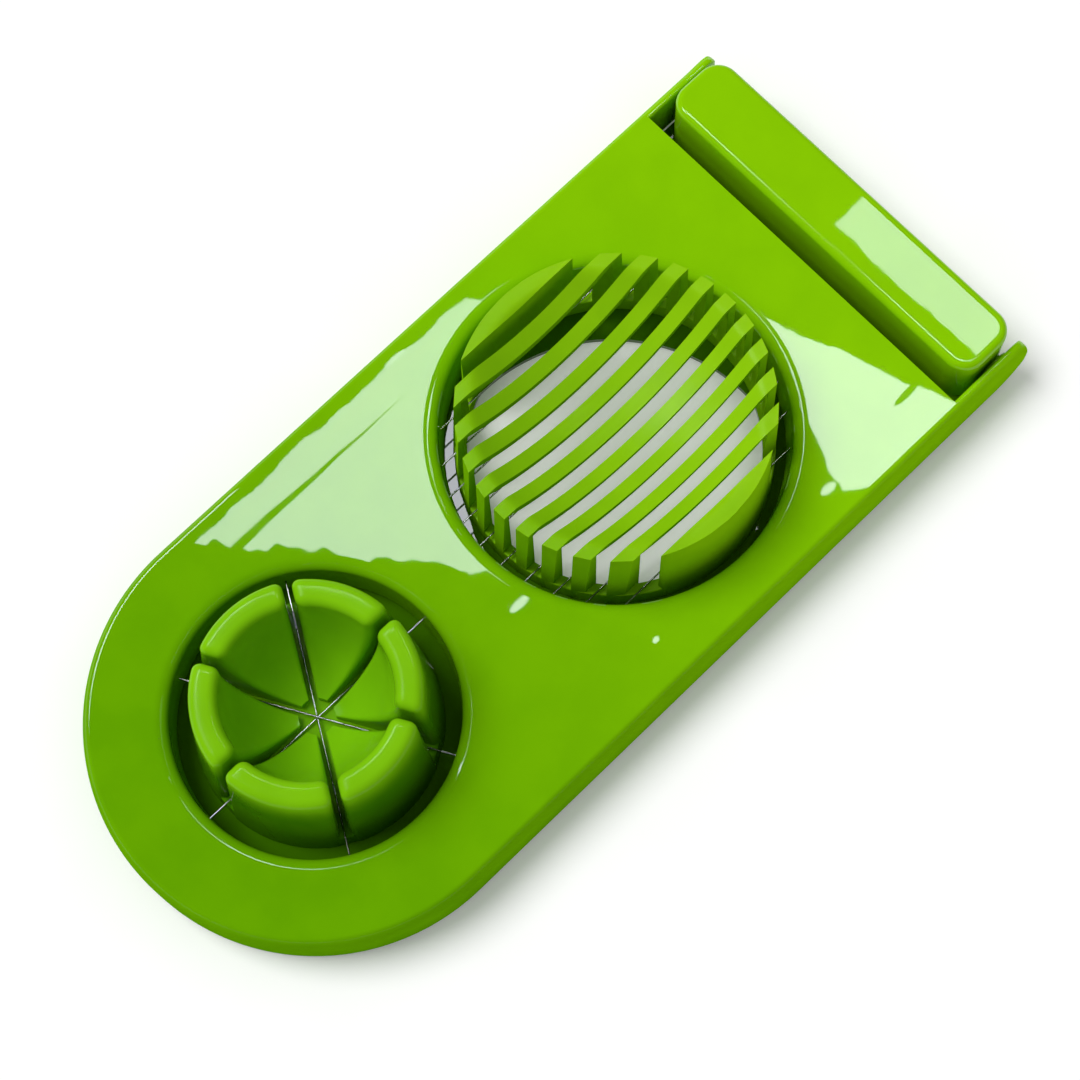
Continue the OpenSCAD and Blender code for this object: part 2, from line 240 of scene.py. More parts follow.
# Painted shade: the floor is the base's own plastic made darker, as it lies in shade under the frame and
# the beds
FLOOR_SHADE_AT_NOSE = (0.050, 0.170, 0.0005)
FLOOR_SHADE_AT_HINGE = (0.060, 0.185, 0.0005)
WIRE_GREY = (0.38, 0.39, 0.36)
PIN_GREY = (0.55, 0.55, 0.54)


def painted_light_along_length(place):
    """Grows from the nose to the hinge: the share of painted light, brighter towards the hinge end."""
    return place.parts()[0].ramp(PAINTED_LIGHT_FROM * MM, PAINTED_LIGHT_TO * MM)


def pod_painted_light_and_shade(place):
    """Share of the pale colour on the pods: painted shade low on their outside, rising to painted light at
    the rims, and painted light nearly full over their bowls.
    """
    x, y, z = place.parts()
    off = x - WEDGE_X * MM
    ends = (BOWL_PALE_R * MM) ** 2, (BOWL_DEEP_R * MM) ** 2
    bowl = (off * off + y * y).ramp(*ends, BOWL_PALENESS, 0.0)
    return z.ramp(WALL_DEEP * MM, WALL_PALE * MM).larger(bowl)


def frame_gloss(place):
    """One on the frame's top; fades to nothing down its outside wall and low on the block."""
    x, y, z = place.parts()
    off = (x - WEDGE_X * MM).smaller(0.0)
    wall = (off * off + y * y).root().ramp(GLOSS_R * MM, MATTE_R * MM, 1.0, 0.0)
    return z.ramp(GLOSS_LOW * MM, GLOSS_HIGH * MM).smaller(wall)


def upward_gloss(place):
    """One where the surface faces up, fading to nothing on walls."""
    facing = place.node("ShaderNodeNewGeometry", {}, "Normal")
    return facing.parts()[2].ramp(MATTE_UP, GLOSS_UP)


def moulded_plastic(name, dark, light, rough, ripple, shine, pale=painted_light_along_length, gloss=None):
    """Injection-moulded plastic with a faint mottle and a slow ripple.

    rough is its least and greatest roughness. pale gives the share of the light colour over the
    surface, which paints in light and shade, and gloss the share of shine."""
    material, place = blank_material(name)
    # The share of the pale colour is painted light and shade, with a faint random mottle on top
    paleness = pale(place) * (1 - MOTTLE_SHARE) + place.patches(*MOTTLE) * MOTTLE_SHARE
    colour = paleness.tint(dark, light)
    waves = {"Strength": ripple, "Distance": RIPPLE_H * MM, "Height": place.noise(*RIPPLE)}
    surface = place.node("ShaderNodeBsdfPrincipled", {
        "Base Color": colour,
        "Roughness": place.patches(*ROUGHNESS, *rough),
        "IOR": PLASTIC_IOR,
        "Specular IOR Level": shine,
        "Normal": place.node("ShaderNodeBump", waves),
    })
    if gloss:
        matte = place.node("ShaderNodeBsdfDiffuse", {"Color": colour})
        surface = place.node("ShaderNodeMixShader", {0: gloss(place), 1: matte, 2: surface})
    use_shader(material, surface)
    return material


def drawn_steel(name, colour, rough):
    """Polished steel with fine drawing marks. rough is its least and greatest roughness."""
    material, place = blank_material(name)
    roughness = place.patches(*DRAWING_MARKS, *rough)
    metal = {"Base Color": (*colour, 1), "Metallic": 1.0, "Roughness": roughness}
    use_shader(material, place.node("ShaderNodeBsdfPrincipled", metal))
    return material


# Painted light: paler from the nose to the hinge
GLOSS_GREEN = moulded_plastic(
    "gloss green", LIME_SHADED, LIME, rough=(0.006, 0.02), ripple=0.03, shine=0.3, gloss=frame_gloss
)
# Painted shade all over the floor, with painted light growing paler towards the hinge
SHADED_FLOOR_GREEN = moulded_plastic(
    "shaded floor green", FLOOR_SHADE_AT_NOSE, FLOOR_SHADE_AT_HINGE, rough=(0.006, 0.02), ripple=0.03, shine=0.35
)
# Painted light: the ribs grow paler towards the hinge
SATIN_GREEN = moulded_plastic(
    "satin green", SATIN_SHADED, SATIN, rough=(0.26, 0.32), ripple=0.0, shine=0.04, gloss=upward_gloss
)
# Painted shade low on the pods' walls, painted light on their rims and in their bowls
POD_GREEN = moulded_plastic(
    "pod green", POD_SHADED, POD_LIT, rough=(0.11, 0.15), ripple=0.0, shine=0.08, pale=pod_painted_light_and_shade
)
WIRE_STEEL = drawn_steel("wire steel", WIRE_GREY, rough=(0.22, 0.30))
PIN_STEEL = drawn_steel("pin steel", PIN_GREY, rough=(0.2, 0.35))


def paint(node, material):
    """Gives a CAD node one material."""
    obj = frame["nodes"][node]
    obj.data.materials.clear()
    obj.data.materials.append(material)
    for face in obj.data.polygons:
        face.material_index = 0


for name in frame["nodes"]:
    if "wire" in name and "clamp" not in name:
        paint(name, WIRE_STEEL)
    elif "pin" in name:
        paint(name, PIN_STEEL)
    elif "bed" in name:
        paint(name, SATIN_GREEN)
    else:
        paint(name, GLOSS_GREEN)


# ---------------------------------------------------------------- shape helpers
# Edges between faces that turn more than this, in degrees, are sharp
SHARP_ANGLE = 38
# Faces with this many corners or more are flat ends
FLAT_CORNERS = 20


def finish_piece(name, bm, body, material, replaced=(), bevel=None):
    """Turns a mesh drawn in millimetres into a smooth piece that rides on a body.

    bevel is the rounding of its edges, and its steps."""
    bmesh.ops.recalc_face_normals(bm, faces=bm.faces)
    bmesh.ops.scale(bm, vec=Vector((MM, MM, MM)), verts=bm.verts)
    mesh = bpy.data.meshes.new(name)
    bm.to_mesh(mesh)
    bm.free()
    mesh.shade_smooth()
    mesh.set_sharp_from_angle(angle=radians(SHARP_ANGLE))
    for face in mesh.polygons:
        face.use_smooth = len(face.vertices) < FLAT_CORNERS
    mesh.materials.append(material)
    obj = bpy.data.objects.new(name, mesh)
    bpy.context.scene.collection.objects.link(obj)
    if bevel:
        rounding = obj.modifiers.new("rounded edges", "BEVEL")
        rounding.width = bevel[0] * MM
        rounding.segments = bevel[1]
        rounding.limit_method = "ANGLE"
        rounding.angle_limit = radians(SHARP_ANGLE)
        rounding.harden_normals = True
    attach(obj, body)
    if replaced:
        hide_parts(*replaced)
    return obj


def chain(bm, points, closed=False):
    """A line of joined vertices, and its edges."""
    verts = [bm.verts.new(p) for p in points]
    edges = [bm.edges.new(pair) for pair in zip(verts, verts[1:])]
    if closed:
        edges.append(bm.edges.new((verts[-1], verts[0])))
    return verts, edges


def sheet(bm, columns, rows, point):
    """A sheet of faces; point(i, j) says where column i meets row j. Returns its vertices by (i, j)."""
    made = bmesh.ops.create_grid(bm, x_segments=columns - 1, y_segments=rows - 1, size=1.0)["verts"]
    verts = {}
    for vert in made:
        i = round((vert.co.x + 1) / 2 * (columns - 1))
        j = round((vert.co.y + 1) / 2 * (rows - 1))
        vert.co = point(i, j)
        verts[i, j] = vert
    return verts


def quarter(steps):
    """Even angles from nothing to a quarter turn."""
    return [pi / 2 * i / steps for i in range(steps + 1)]


def arc(cx, cz, r, start, end, steps):
    """Points of a round corner between two angles, in degrees."""
    angles = [radians(start + (end - start) * i / steps) for i in range(steps + 1)]
    return [(cx + r * cos(a), cz + r * sin(a)) for a in angles]


def turned(bm, profile, centre_x, steps=144):
    """Spins a profile of (radius, height) points a full turn about an upright axis."""
    verts, edges = chain(bm, [(centre_x + r, 0, z) for r, z in profile])
    bmesh.ops.spin(
        bm, geom=verts + edges, cent=Vector((centre_x, 0, 0)), axis=Vector((0, 0, 1)),
        angle=2 * pi, steps=steps, use_merge=True,
    )


def join_doubles(bm):
    """Merges the points that a full turn leaves at its seam and its poles."""
    bmesh.ops.remove_doubles(bm, verts=bm.verts, dist=NEAR)


def round_edges(bm, edges, r, steps):
    """Rounds edges to radius r, in this many steps."""
    bmesh.ops.bevel(bm, geom=edges, offset=r, segments=steps, profile=0.5, affect="EDGES", material=-1)


# ---------------------------------------------------------------- slicer bed
RIB_STEPS = 36
END_COLUMNS, END_ROWS = 26, 11
# A circle reaches at least this far, and an end's last row stays this much inside the rim
LEAST_REACH, RIM_INSET = 0.2, 0.02


def bed_outer(z):
    """Radius of the slicing bed's outer wall at height z."""
    return BED_LOW_R + (BED_TOP_R - BED_LOW_R) * (z - FLOOR_TOP) / (BED_TOP - FLOOR_TOP)


def reach(r, y):
    """How far along X a circle of radius r goes at y."""
    return sqrt(max(r * r - y * y, LEAST_REACH**2))


def ball_z(r, ball):
    """Height of the underside of a ball of this radius, r out from its middle."""
    return DISH_BALL_Z - sqrt(ball * ball - r * r)


def dish_z(r):
    """Height of the dish at radius r, easing into the flat rim."""
    ball = ball_z(min(r, BED_IN_R), DISH_BALL_R)
    return -RIM_EASE * log(exp(-ball / RIM_EASE) + exp(-BED_TOP / RIM_EASE))


def rib_outline(y):
    """A rib's face at y, with its two posts: (x, z, share) points. Share is 1 on top and 0 below."""
    half = []
    wide = reach(BED_TOP_R, y)
    for a in quarter(RIB_STEPS):
        x = wide * sin(a)
        half.append((x, dish_z(sqrt(x * x + y * y)), 1.0))
    for z in POST_HEIGHTS:
        half.append((reach(bed_outer(z), y), z, (z - FLOOR_TOP) / (BED_TOP - FLOOR_TOP)))
    under = reach(BED_IN_R, y)
    half.append((under, FLOOR_TOP, 0.0))
    for a in quarter(RIB_STEPS):
        x = under * cos(a)
        half.append((x, ball_z(sqrt(x * x + y * y), DISH_BALL_R + RIB_H), 0.0))
    return half + [(-x, z, share) for x, z, share in reversed(half[1:-1])]


def rib(bm, y):
    """A dished rib, wider on top than below: two side faces with a band of faces round them."""
    rings = []
    for side in (-1, 1):
        points = []
        for x, z, share in rib_outline(y + side * RIB_W / 2):
            half_w = (RIB_LOW_W + (RIB_W - RIB_LOW_W) * share) / 2
            points.append((SLICER_X + x, y + side * half_w, z))
        edges = chain(bm, points, True)[1]
        rings += edges
        bmesh.ops.edgeloop_fill(bm, edges=edges)
    bmesh.ops.bridge_loops(bm, edges=rings)


def end_segment(bm, side):
    """The closed D-shaped end of the dish, beyond the outermost wire, with its dished edge."""
    near = RIBS / 2 * WIRE_PITCH + END_GAP

    def point(i, j):
        y = near + (BED_TOP_R - near - RIM_INSET) * j / (END_ROWS - 1)
        x = reach(BED_TOP_R, y) * (2 * i / (END_COLUMNS - 1) - 1)
        return SLICER_X + x, side * y, dish_z(sqrt(x * x + y * y))

    top = set(sheet(bm, END_COLUMNS, END_ROWS, point).values())
    top_edges = [e for e in bm.edges if e.is_boundary and e.verts[0] in top]
    made = bmesh.ops.extrude_edge_only(bm, edges=top_edges)["geom"]
    low = [g for g in made if isinstance(g, bmesh.types.BMVert)]
    for vert in low:
        x, y = vert.co.x - SLICER_X, vert.co.y
        grow = BED_LOW_R / BED_TOP_R if abs(y) > near + RIM_INSET / 2 else 1.0
        vert.co = (SLICER_X + x * grow, y * grow, FLOOR_TOP)
    low_edges = [e for e in bm.edges if e.is_boundary and e.verts[0] in low and e.verts[1] in low]
    bmesh.ops.edgeloop_fill(bm, edges=low_edges)


def slicer_bed():
    """Nine ribs between two closed ends, on a low ring."""
    bm = bmesh.new()
    for i in range(RIBS):
        rib(bm, (i - (RIBS - 1) / 2) * WIRE_PITCH)
    finish_piece("slicer_bed_ribs", bm, "base", SATIN_GREEN, ["slicer_bed"], RIB_BEVEL)
    bm = bmesh.new()
    for side in (-1, 1):
        end_segment(bm, side)
    finish_piece("slicer_bed_ends", bm, "base", SATIN_GREEN, (), END_BEVEL)
    bm = bmesh.new()
    ring = [(BED_IN_R, FLOOR_TOP)]
    ring += [(bed_outer(z), z) for z in (FLOOR_TOP, SLOT_LOW)]
    ring += [(BED_IN_R, SLOT_LOW), ring[0]]
    turned(bm, ring, SLICER_X)
    join_doubles(bm)
    finish_piece("slicer_bed_ring", bm, "base", SATIN_GREEN, (), RING_BEVEL)


# ---------------------------------------------------------------- wedge bed
BOWL_STEPS, RIM_STEPS, WALL_STEPS = 20, 8, 8
# Where the columns of a pod's rounded end stand, as shares of its rounding
ROUND_STEPS = (0.0, 0.03, 0.1, 0.22, 0.4, 0.65, 1.0)
MIDDLE_COLUMNS = 14


def pod_profile():
    """Half section of a pod from its inner foot, up the bowl, over the rim and down the outside."""
    points = [(POD_TIP_R, FLOOR_TOP), (POD_TIP_R, POD_TIP_Z - POD_TIP_EDGE)]
    for a in quarter(BOWL_STEPS):
        z = BOWL_TOP - (BOWL_TOP - POD_TIP_Z) * cos(a)
        points.append((POD_IN_R * sqrt(1 - ((BOWL_TOP - z) / BOWL_H) ** 2), z))
    points += arc(POD_IN_R + POD_RIM_R, BOWL_TOP, POD_RIM_R, 180, 90, RIM_STEPS)[1:]
    points += arc(POD_TOP_R - POD_RIM_R, BOWL_TOP, POD_RIM_R, 90, POD_DRAFT, RIM_STEPS)
    r, z = points[-1]
    for i in range(1, WALL_STEPS + 1):
        share = i / WALL_STEPS
        points.append((r + (POD_LOW_R - r) * share, z + (FLOOR_TOP - z) * share))
    return points


def outward(profile):
    """Which way a section faces at each of its points."""
    before = [profile[0]] + profile[:-1]
    after = profile[1:] + [profile[-1]]
    return [Vector((z0 - z1, r1 - r0)).normalized() for (r0, z0), (r1, z1) in zip(before, after)]


def groove_side(bearing, z):
    """How far the middle of the groove at this bearing stands off its ray at height z, anticlockwise."""
    turn = round(bearing / 60) % 6
    lean = 0.0 if turn % 3 == 0 else -GROOVE_LEAN
    rise = max(0.0, (z - GROOVE_LOW) / (POD_TOP + 1 - GROOVE_LOW))
    return lean * rise * (1 if turn < 3 else -1)


def pod(bm, bearing):
    """One of six pods: its section swept between two grooves, with rounded ends."""
    profile = pod_profile()
    facing = outward(profile)
    last_row = len(profile) - 1
    columns = 2 * len(ROUND_STEPS) + MIDDLE_COLUMNS

    def point(i, j):
        r, z = profile[j]
        nearest = min(i, columns - 1 - i)
        at_end = nearest < len(ROUND_STEPS)
        into = ROUND_STEPS[nearest] if at_end else 1.0
        grown = min(1.0, ROUND_AT_TIP + (r - POD_TIP_R) / ROUND_GROWS)
        rounding = min(POD_ROUND * grown, ROUND_MOST * r)
        sink = rounding * (1 - sqrt(1 - (1 - into) ** 2))
        r -= facing[j].x * sink
        z = max(FLOOR_TOP, z - facing[j].y * sink)
        start = radians(bearing) + asin((GROOVE_W / 2 + groove_side(bearing, z)) / r)
        end = radians(bearing + 60) - asin((GROOVE_W / 2 - groove_side(bearing + 60, z)) / r)
        half = (end - start) / 2
        if at_end:
            turn = (half - rounding * into / r) * (-1 if i == nearest else 1)
        else:
            along = (i - len(ROUND_STEPS) + 1) / (MIDDLE_COLUMNS + 1)
            turn = (half - rounding / r) * (2 * along - 1)
        a = (start + end) / 2 + turn
        return WEDGE_X + r * cos(a), r * sin(a), z

    verts = sheet(bm, columns, len(profile), point)
    rows = [{verts[i, j] for i in range(columns)} for j in (0, last_row)]
    open_edges = [e for e in bm.edges if e.is_boundary]
    feet = [e for e in open_edges if any(e.verts[0] in row and e.verts[1] in row for row in rows)]
    bmesh.ops.bridge_loops(bm, edges=feet)
    own = set(verts.values())
    caps = [e for e in bm.edges if e.is_boundary and e.verts[0] in own]
    bmesh.ops.holes_fill(bm, edges=caps, sides=0)


def wedge_bed():
    """Six pods on a round foot that closes the grooves below."""
    bm = bmesh.new()
    for bearing in range(0, 360, 60):
        pod(bm, bearing)
    finish_piece("wedge_bed_pods", bm, "base", POD_GREEN, ["wedge_bed"])
    bm = bmesh.new()
    shoulder = [(FOOT_R - FOOT_BEVEL, GROOVE_LOW - FOOT_BEVEL), (FOOT_R - 2 * FOOT_BEVEL, GROOVE_LOW)]
    turned(bm, [(0, FLOOR_TOP), (FOOT_R, FLOOR_TOP)] + shoulder + [(0, GROOVE_LOW)], WEDGE_X)
    join_doubles(bm)
    finish_piece("wedge_bed_foot", bm, "base", POD_GREEN)


# ---------------------------------------------------------------- frame and base
NOSE_STEPS, HOLE_STEPS, LIP_STEPS, EDGE_STEPS = 96, 192, 12, 12
EAR_STEPS, EAR_EDGE_STEPS, EAR_IN_STEPS, BOSS_STEPS = 24, 10, 4, 64
BLOCK_CORNER_STEPS, BLOCK_EDGE_STEPS = 12, 10
# Square of the least share of its thickness that an ear keeps at its tip
EAR_LEAST = 0.02


def rolled_edge(y, z, steps):
    """Points of the frame's rolled outer edge, from its wall up to its top."""
    return [(y - EDGE_W * (1 - cos(a)), z - EDGE_H * (1 - sin(a))) for a in quarter(steps)]


def long_sweep(bm, section, end_x):
    """Sweeps a (y, z) section round the nose and along both sides to end_x."""
    verts, edges = chain(bm, [(WEDGE_X, y, z) for y, z in section])
    spun = bmesh.ops.spin(
        bm, geom=verts + edges, cent=Vector((WEDGE_X, 0, 0)), axis=Vector((0, 0, 1)),
        angle=pi, steps=NOSE_STEPS,
    )["geom_last"]
    for ends in (edges, [g for g in spun if isinstance(g, bmesh.types.BMEdge)]):
        made = bmesh.ops.extrude_edge_only(bm, edges=ends)["geom"]
        moved = [g for g in made if isinstance(g, bmesh.types.BMVert)]
        bmesh.ops.translate(bm, verts=moved, vec=Vector((end_x - WEDGE_X, 0, 0)))


def close_end(bm, end_x, y, z):
    """Joins the two sides at end_x with an edge at height z."""
    near = [min(bm.verts, key=lambda v: (v.co - Vector((end_x, s * y, z))).length) for s in (-1, 1)]
    bm.edges.new(near)


def fill_level(bm, z):
    """Fills the open outline at height z, leaving the holes inside it open."""
    edges = [e for e in bm.edges if not e.link_faces or e.is_boundary]
    level = [e for e in edges if all(abs(v.co.z - z) < NEAR for v in e.verts)]
    bmesh.ops.triangle_fill(bm, edges=level, use_beauty=True)


def fill_end(bm, end_x, side=0):
    """Closes what is open at end_x, or only what stands on one side of the middle there."""

    def at_end(vert):
        return abs(vert.co.x - end_x) < NEAR and vert.co.y * side >= 0

    edges = [e for e in bm.edges if e.is_boundary and all(at_end(v) for v in e.verts)]
    bmesh.ops.edgeloop_fill(bm, edges=edges)


def hole_profile(r, draft):
    """Half section of a cutting hole: flat strip, rounded lip, drafted wall and the collar's outside."""
    lip = [(r + LIP_W * (1 - sin(a)), FRAME_TOP - LIP_R * (1 - cos(a))) for a in quarter(LIP_STEPS)]
    wall_low = r - draft * (FRAME_TOP - LIP_R - WIRE_Z)
    outside = [(wall_low, WIRE_Z), (r + COLLAR_T, WIRE_Z), (r + COLLAR_T, PLATE_LOW)]
    return [(r + LIP_W + STRIP, FRAME_TOP)] + lip + outside


def round_drop(r, past):
    """Height left in a corner of radius r, this far past where its rounding starts."""
    return sqrt(max(0.0, r**2 - max(0.0, past) ** 2))


def ear(bm, side):
    """One of the two arms that carry the hinge, rounded in side view, in plan and along its top edges."""
    section = [(SKIRT_IN, SKIRT_LOW), (HALF_W, SKIRT_LOW)]
    section += rolled_edge(HALF_W, FRAME_TOP, EAR_EDGE_STEPS)
    section += arc(SKIRT_IN + EAR_IN_ROUND, FRAME_TOP - EAR_IN_ROUND, EAR_IN_ROUND, 90, 180, EAR_IN_STEPS)
    section.append(section[0])
    stations = [PLATE_END, (PLATE_END + TIP - EAR_LOW_R) / 2]
    stations += [TIP - EAR_LOW_R * (1 - sin(a)) for a in quarter(EAR_STEPS)]
    middle = (HALF_W + SKIRT_IN) / 2

    def point(i, j):
        x = stations[i]
        y, z = section[j]
        low = SKIRT_LOW + EAR_LOW_R - round_drop(EAR_LOW_R, x - TIP + EAR_LOW_R)
        top = FRAME_TOP - EAR_TOP_R + round_drop(EAR_TOP_R, x - TIP + EAR_TOP_R)
        thin = sqrt(max(EAR_LEAST, 1 - (max(0.0, x - TIP + EAR_ROUND) / EAR_ROUND) ** 2))
        z = low + (z - SKIRT_LOW) * (top - low) / (FRAME_TOP - SKIRT_LOW)
        return x, side * (middle + (y - middle) * thin), z

    own = sheet(bm, len(stations), len(section), point)
    bmesh.ops.remove_doubles(bm, verts=list(own.values()), dist=NEAR / 2)
    fill_end(bm, TIP, side)
    fill_end(bm, PLATE_END, side)


def boss(bm, side):
    """The round boss inside an ear, which the hinge pin goes through."""
    middle = Vector((HINGE_X, side * (SKIRT_IN + BOSS_FACE) / 2, HINGE_Z))
    bmesh.ops.create_cone(
        bm, cap_ends=True, segments=BOSS_STEPS, radius1=BOSS_R, radius2=BOSS_R, depth=SKIRT_IN - BOSS_FACE,
        matrix=Matrix.Translation(middle) @ Matrix.Rotation(pi / 2, 4, "X"),
    )


def cutting_frame():
    """The plate with its skirt, its two cutting holes and its two ears."""
    bm = bmesh.new()
    wall = [(SKIRT_IN, PLATE_LOW), (SKIRT_IN, SKIRT_LOW), (HALF_W, SKIRT_LOW)]
    wall += rolled_edge(HALF_W, FRAME_TOP, EDGE_STEPS)
    wall.append((HALF_W - EDGE_W - STRIP, FRAME_TOP))
    long_sweep(bm, wall, PLATE_END)
    close_end(bm, PLATE_END, wall[-1][0], FRAME_TOP)
    close_end(bm, PLATE_END, SKIRT_IN, PLATE_LOW)
    turned(bm, hole_profile(WEDGE_HOLE_R, WEDGE_HOLE_DRAFT), WEDGE_X, HOLE_STEPS)
    turned(bm, hole_profile(SLICER_HOLE_R, SLICER_HOLE_DRAFT), SLICER_X, HOLE_STEPS)
    fill_level(bm, FRAME_TOP)
    fill_level(bm, PLATE_LOW)
    fill_end(bm, PLATE_END)
    for side in (-1, 1):
        ear(bm, side)
        boss(bm, side)
    finish_piece("cutting_frame_shell", bm, "frame", GLOSS_GREEN, ["cutting_frame"])


def opening_point(bearing, z):
    """Where the floor opening's edge stands at a bearing, in degrees, from the bed's centre."""
    a = radians(bearing)
    to_sill = (SLICER_X - SILL_X) * cos(a) - SILL_Y * sin(a)
    off = (SLICER_X - SILL_X) ** 2 + SILL_Y**2
    sill = sqrt(to_sill * to_sill - off + SILL_R**2) - to_sill
    r = min(sill, BED_IN_R)
    return SLICER_X + r * cos(a), r * sin(a), z


def base_floor():
    """The thin floor under the whole slicer, open under the ribs."""
    bm = bmesh.new()
    long_sweep(bm, [(FLOOR_HALF, 0), (FLOOR_HALF, FLOOR_TOP)], FLOOR_END)
    close_end(bm, FLOOR_END, FLOOR_HALF, 0)
    close_end(bm, FLOOR_END, FLOOR_HALF, FLOOR_TOP)
    rims = []
    for z in (0, FLOOR_TOP):
        rims += chain(bm, [opening_point(bearing, z) for bearing in range(0, 360, 2)], True)[1]
    bmesh.ops.bridge_loops(bm, edges=rims)
    fill_level(bm, 0)
    fill_level(bm, FLOOR_TOP)
    fill_end(bm, FLOOR_END)
    finish_piece("base_floor", bm, "base", SHADED_FLOOR_GREEN, ["base"])


def level_face(bm, way):
    """The widest face on top, where way is 1, or underneath, where it is -1."""
    small = 0.001
    return max(bm.faces, key=lambda f: way * f.calc_center_median().z + f.calc_area() * small)


def base_block():
    """The hinge block: rounded upright corners, a rounded top edge and a hollow underside."""
    bm = bmesh.new()
    bmesh.ops.create_cube(bm, size=1.0)
    bmesh.ops.scale(bm, vec=Vector((BLOCK_X1 - BLOCK_X0, 2 * BLOCK_HALF, BLOCK_TOP)), verts=bm.verts)
    middle = Vector(((BLOCK_X0 + BLOCK_X1) / 2, 0, BLOCK_TOP / 2))
    bmesh.ops.translate(bm, vec=middle, verts=bm.verts)
    upright = [e for e in bm.edges if abs(e.verts[0].co.z - e.verts[1].co.z) > NEAR]
    round_edges(bm, upright, BLOCK_CORNER, BLOCK_CORNER_STEPS)
    round_edges(bm, list(level_face(bm, 1).edges), BLOCK_EDGE, BLOCK_EDGE_STEPS)
    bmesh.ops.inset_region(bm, faces=[level_face(bm, 1)], thickness=STRIP)
    bmesh.ops.inset_region(bm, faces=[level_face(bm, -1)], thickness=BLOCK_WALL)
    under = level_face(bm, -1)
    hollow = bmesh.ops.extrude_face_region(bm, geom=[under])["geom"]
    lifted = [g for g in hollow if isinstance(g, bmesh.types.BMVert)]
    bmesh.ops.translate(bm, vec=Vector((0, 0, BLOCK_TOP - BLOCK_WALL)), verts=lifted)
    bmesh.ops.delete(bm, geom=[under], context="FACES_ONLY")
    finish_piece("base_block", bm, "base", GLOSS_GREEN)


cutting_frame()
base_floor()
base_block()
slicer_bed()
wedge_bed()


# ---------------------------------------------------------------- table
TABLE_HALF = 3000.0
TABLE_DARK, TABLE_LIGHT = (0.89, 0.89, 0.89), (0.91, 0.91, 0.91)
# The glow that the table is seen with, and its share away from the slicer bed; within the first radius the
# glow is full, painted light on the table in the ribs' shade, fading to that share by the second
TABLE_GLOW = 0.25
SHADED = (0.36, 0.36, 0.36)
SHADED_R, OPEN_R = 24.0, 32.0


def stage_object(name, bm, material):
    """Turns a mesh drawn in metres into a piece of the stage."""
    mesh = bpy.data.meshes.new(name)
    bm.to_mesh(mesh)
    bm.free()
    mesh.materials.append(material)
    obj = bpy.data.objects.new(name, mesh)
    bpy.context.scene.collection.objects.link(obj)
    return obj


def table():
    """A white table. It glows a little where it is seen or mirrored, and lights nothing with that glow.
    Under the slicer bed it glows more: painted light on the table in the shade of the ribs.
    """
    material, place = blank_material("table")
    x, y, _ = place.parts()
    off = x - SLICER_X * MM
    # Painted light: the table glows more under the ribs, where it lies in their shade
    painted_light_under_bed = (off * off + y * y).root().ramp(SHADED_R * MM, OPEN_R * MM, 1.0, 0.0)
    by_eye = place.node("ShaderNodeLightPath", {}, "Is Camera Ray")
    by_mirror = place.node("ShaderNodeLightPath", {}, "Is Glossy Ray")
    use_shader(material, place.node("ShaderNodeBsdfPrincipled", {
        "Base Color": place.patches(*TABLE_GRAIN).tint(TABLE_DARK, TABLE_LIGHT),
        "Roughness": 1.0,
        "Specular IOR Level": 0.0,
        "Emission Color": painted_light_under_bed.tint(SHADED, (1, 1, 1)),
        "Emission Strength": by_eye.larger(by_mirror) * TABLE_GLOW,
    }))
    bm = bmesh.new()
    bmesh.ops.create_grid(bm, x_segments=1, y_segments=1, size=TABLE_HALF * MM)
    return stage_object("table", bm, material)


# ---------------------------------------------------------------- window and lights
EYE, AIM = (-93.17, -117.05, 533.67), (1.25, -6.21, 14.0)
CARD_H, CARD_HALF, CARD_MIDDLE = 400.0, 500.0, 100.0
# How much wider the window's opening is at card height than its mirror image on the plate
CARD_SPREAD = (CARD_H + EYE[2] - 2 * FRAME_TOP) / (EYE[2] - FRAME_TOP)
WINDOW_WHITE, WINDOW_STRENGTH = (0.90, 0.92, 1.0), 21.0
# Share of the full strength in the left shape and on the block
LEFT_SHARE, BLOCK_SHARE = 0.82, 0.70
# Half the width over which an outline fades
SOFT = 0.12
# Scale, detail, roughness and width of the wobble in the outlines: leaves on one side, fine elsewhere
LEAVES = [(9.0, 1.0, 0.5, 8.0), (45.0, 2.0, 0.6, 16.0)]
FINE, FINE_ON_BLOCK = (50.0, 3.0, 0.6, 3.6), 0.7

# The window's bright shapes, by the points where they land on the plate.
# The left shape has three straight sides, two ends, and stops short of the slicer bed
LEFT_CORNER, LEFT_LOW, LEFT_HIGH = (-12.5, -2.2), (52.0, -42.0), (-45.0, 38.0)
LEFT_BACK = ((64.5, -5.5), (24.0, 46.0))
LEFT_TOP, LEFT_END = 43.0, 38.0
BED_CLEARANCE, BED_FADE = (SLICER_X, 0, 33.0, 33.0), -15.0
# A dark bar crosses it, wider towards the nose
BAR_Y, BAR_HALF, BAR_WIDENS = 36.1, 0.05, -0.02
# The right shape lies between three lines, with a nick near its foot
RIGHT_SIDE = ((82.7, -43.8), (68.5, -5.5))
RIGHT_BACK = ((58.6, -26.0), (52.4, -42.0))
RIGHT_FOOT = ((52.0, -42.0), (58.0, -46.5))
RIGHT_NICK = (77.9, -36.8, 4.2, 0.7)
BLOCK_PATCH = (91.5, 101.2, -42.0, -1.0)
SKYLIGHT = (-120.0, -35.0, 52.0, 110.0)
GLINTS = [(-11, -12.7, 2.6, 0.9), (51.2, -39.8, 2.0, 0.9), (3.3, -37.4, 0.8, 0.6), (7, 43.3, 2.8, 0.5)]


